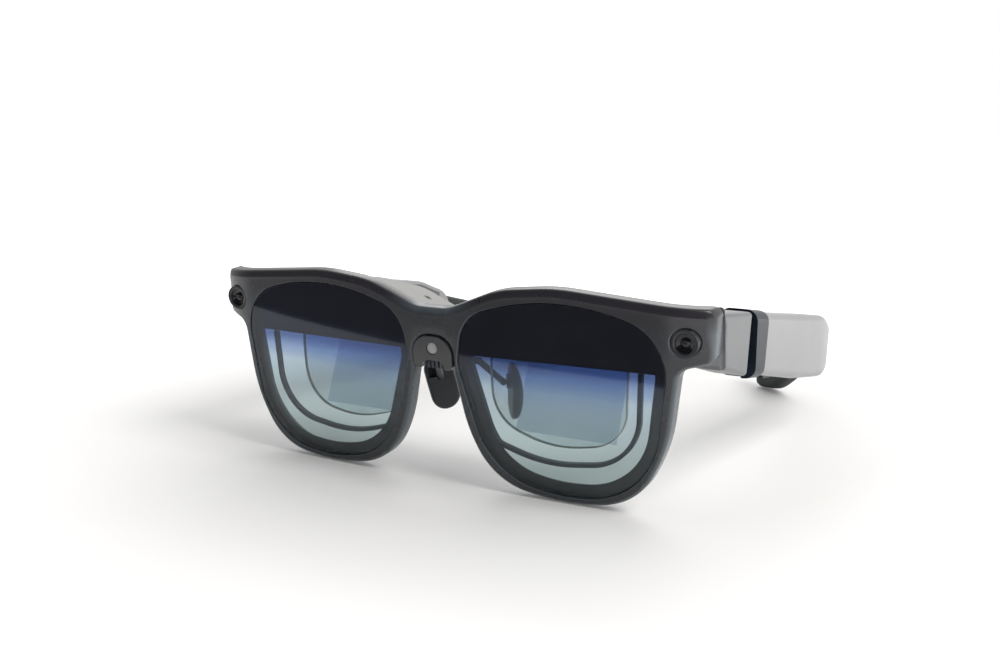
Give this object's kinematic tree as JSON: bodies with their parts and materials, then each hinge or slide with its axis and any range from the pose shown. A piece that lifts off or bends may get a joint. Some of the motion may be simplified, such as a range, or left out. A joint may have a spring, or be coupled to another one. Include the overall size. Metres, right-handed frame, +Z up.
{
  "type": "smart glasses",
  "caption": "Display glasses with dimming lenses, see-through optics behind them, depth cameras in the endpieces and folding temples.",
  "frame": {"origin": "on the ground, in the middle of the space that the open glasses take up", "axes": "+X to the wearer's left, -Y the way the wearer looks, +Z up"},
  "size_m": [0.1568, 0.1606, 0.0561],
  "materials": {
    "frame_plastic": "translucent slate grey, polished",
    "housing_plastic": "fine matt",
    "cover_plastic": "warm light grey, satin",
    "arm_plastic": "satin grey lacquer",
    "temple_lacquer": "light grey satin lacquer",
    "inner_plastic": "fine matt",
    "collar_gloss": "black with a blue sheen",
    "lens_glass": "dimming lens with a dark coating",
    "mask_film": "opaque printed film",
    "optic_glass": "half-mirror coating",
    "holder_plastic": "anti-reflection black",
    "display_glass": "display panel, switched off",
    "board_laminate": "solder mask",
    "camera_glass": "coated camera lens",
    "bezel_plastic": "polished ring",
    "window_plastic": "diffusing window",
    "pad_silicone": "soft silicone",
    "tip_rubber": "soft-touch",
    "hinge_steel": "fine brushed",
    "contact_gold": "gold flash",
    "key_plastic": "fine matt"
  },
  "bodies": {
    "root": {"front_frame": "frame_plastic", "rear_housing": "housing_plastic", "top_cover": "cover_plastic", "housing_screws": "hinge_steel", "main_board": "board_laminate", "camera_cover": "mask_film", "centre_camera": "camera_glass", "camera_window": "window_plastic", "nose_bracket": "holder_plastic", "lens_left": "lens_glass", "lens_right": "lens_glass", "lens_mask_left": "mask_film", "lens_mask_right": "mask_film", "combiner_holder_left": "holder_plastic", "combiner_holder_right": "holder_plastic", "combiner_left": "optic_glass", "combiner_right": "optic_glass", "beam_splitter_left": "optic_glass", "beam_splitter_right": "optic_glass", "depth_camera_left": "camera_glass", "depth_camera_right": "camera_glass", "camera_ring_left": "bezel_plastic", "camera_ring_right": "bezel_plastic", "arm_shell_left": "arm_plastic", "arm_shell_right": "arm_plastic", "arm_cover_left": "housing_plastic", "arm_cover_right": "housing_plastic", "hinge_block_left": "hinge_steel", "hinge_block_right": "hinge_steel", "hinge_pin_left": "hinge_steel", "hinge_pin_right": "hinge_steel"},
    "temple_left": {"hinge_knuckle_left": "hinge_steel", "collar_left": "collar_gloss", "temple_shell_left": "temple_lacquer", "temple_cover_left": "inner_plastic", "temple_tip_left": "tip_rubber", "speaker_left": "housing_plastic", "temple_board_left": "board_laminate"},
    "focus_dial_left": {"focus_dial_left": "cover_plastic"},
    "focus_carriage_left": {"focus_carriage_left": "holder_plastic", "field_lens_left": "optic_glass", "display_panel_left": "display_glass"},
    "nose_pad_left": {"nose_pad_left": "pad_silicone"},
    "temple_right": {"hinge_knuckle_right": "hinge_steel", "collar_right": "collar_gloss", "temple_shell_right": "temple_lacquer", "temple_cover_right": "inner_plastic", "temple_tip_right": "tip_rubber", "speaker_right": "housing_plastic", "temple_board_right": "board_laminate", "port_contacts": "contact_gold"},
    "focus_dial_right": {"focus_dial_right": "cover_plastic"},
    "focus_carriage_right": {"focus_carriage_right": "holder_plastic", "field_lens_right": "optic_glass", "display_panel_right": "display_glass"},
    "nose_pad_right": {"nose_pad_right": "pad_silicone"},
    "volume_rocker": {"volume_rocker": "key_plastic"},
    "power_button": {"power_button": "key_plastic"}
  },
  "joints": [
    {"name": "temple_left_fold", "type": "hinge", "parent": "root", "child": "temple_left", "pos_m": [0.0695, -0.0431, 0.0404], "axis": [0, 0, 1], "range_deg": [0, 80]},
    {"name": "focus_dial_left_turn", "type": "hinge", "parent": "root", "child": "focus_dial_left", "pos_m": [0.041, -0.06131, 0.05006], "axis": [0, 0.1685, 0.9857], "range_deg": [-150, 150]},
    {"name": "focus_carriage_left_slide", "type": "slide", "parent": "root", "child": "focus_carriage_left", "axis": [0, 0.1685, 0.9857], "range_m": [-0.0007, 0.0007]},
    {"name": "nose_pad_left_tilt", "type": "hinge", "parent": "root", "child": "nose_pad_left", "pos_m": [0.0112, -0.05683, 0.02541], "axis": [0, -0.0906, 0.9959], "range_deg": [-10, 10]},
    {"name": "temple_right_fold", "type": "hinge", "parent": "root", "child": "temple_right", "pos_m": [-0.0695, -0.0431, 0.0404], "axis": [0, 0, -1], "range_deg": [0, 66]},
    {"name": "focus_dial_right_turn", "type": "hinge", "parent": "root", "child": "focus_dial_right", "pos_m": [-0.041, -0.06131, 0.05006], "axis": [0, 0.1685, 0.9857], "range_deg": [-150, 150]},
    {"name": "focus_carriage_right_slide", "type": "slide", "parent": "root", "child": "focus_carriage_right", "axis": [0, 0.1685, 0.9857], "range_m": [-0.0007, 0.0007]},
    {"name": "nose_pad_right_tilt", "type": "hinge", "parent": "root", "child": "nose_pad_right", "pos_m": [-0.0112, -0.05683, 0.02541], "axis": [0, 0.0906, -0.9959], "range_deg": [-10, 10]},
    {"name": "volume_rocker_tilt", "type": "hinge", "parent": "temple_left", "child": "volume_rocker", "pos_m": [0.0716, -0.02062, 0.02991], "axis": [1, 0, 0], "range_deg": [-3, 3], "stiffness_Nm_per_rad": 0.02},
    {"name": "power_button_press", "type": "slide", "parent": "temple_left", "child": "power_button", "axis": [0, 0.1685, 0.9857], "range_m": [0, 0.0005], "stiffness_N_per_m": 300}
  ],
  "couplings": [
    {"joint": "focus_dial_left_turn", "follows": "focus_carriage_left_slide", "rad_per_m": 3740},
    {"joint": "focus_dial_right_turn", "follows": "focus_carriage_right_slide", "rad_per_m": 3740}
  ]
}
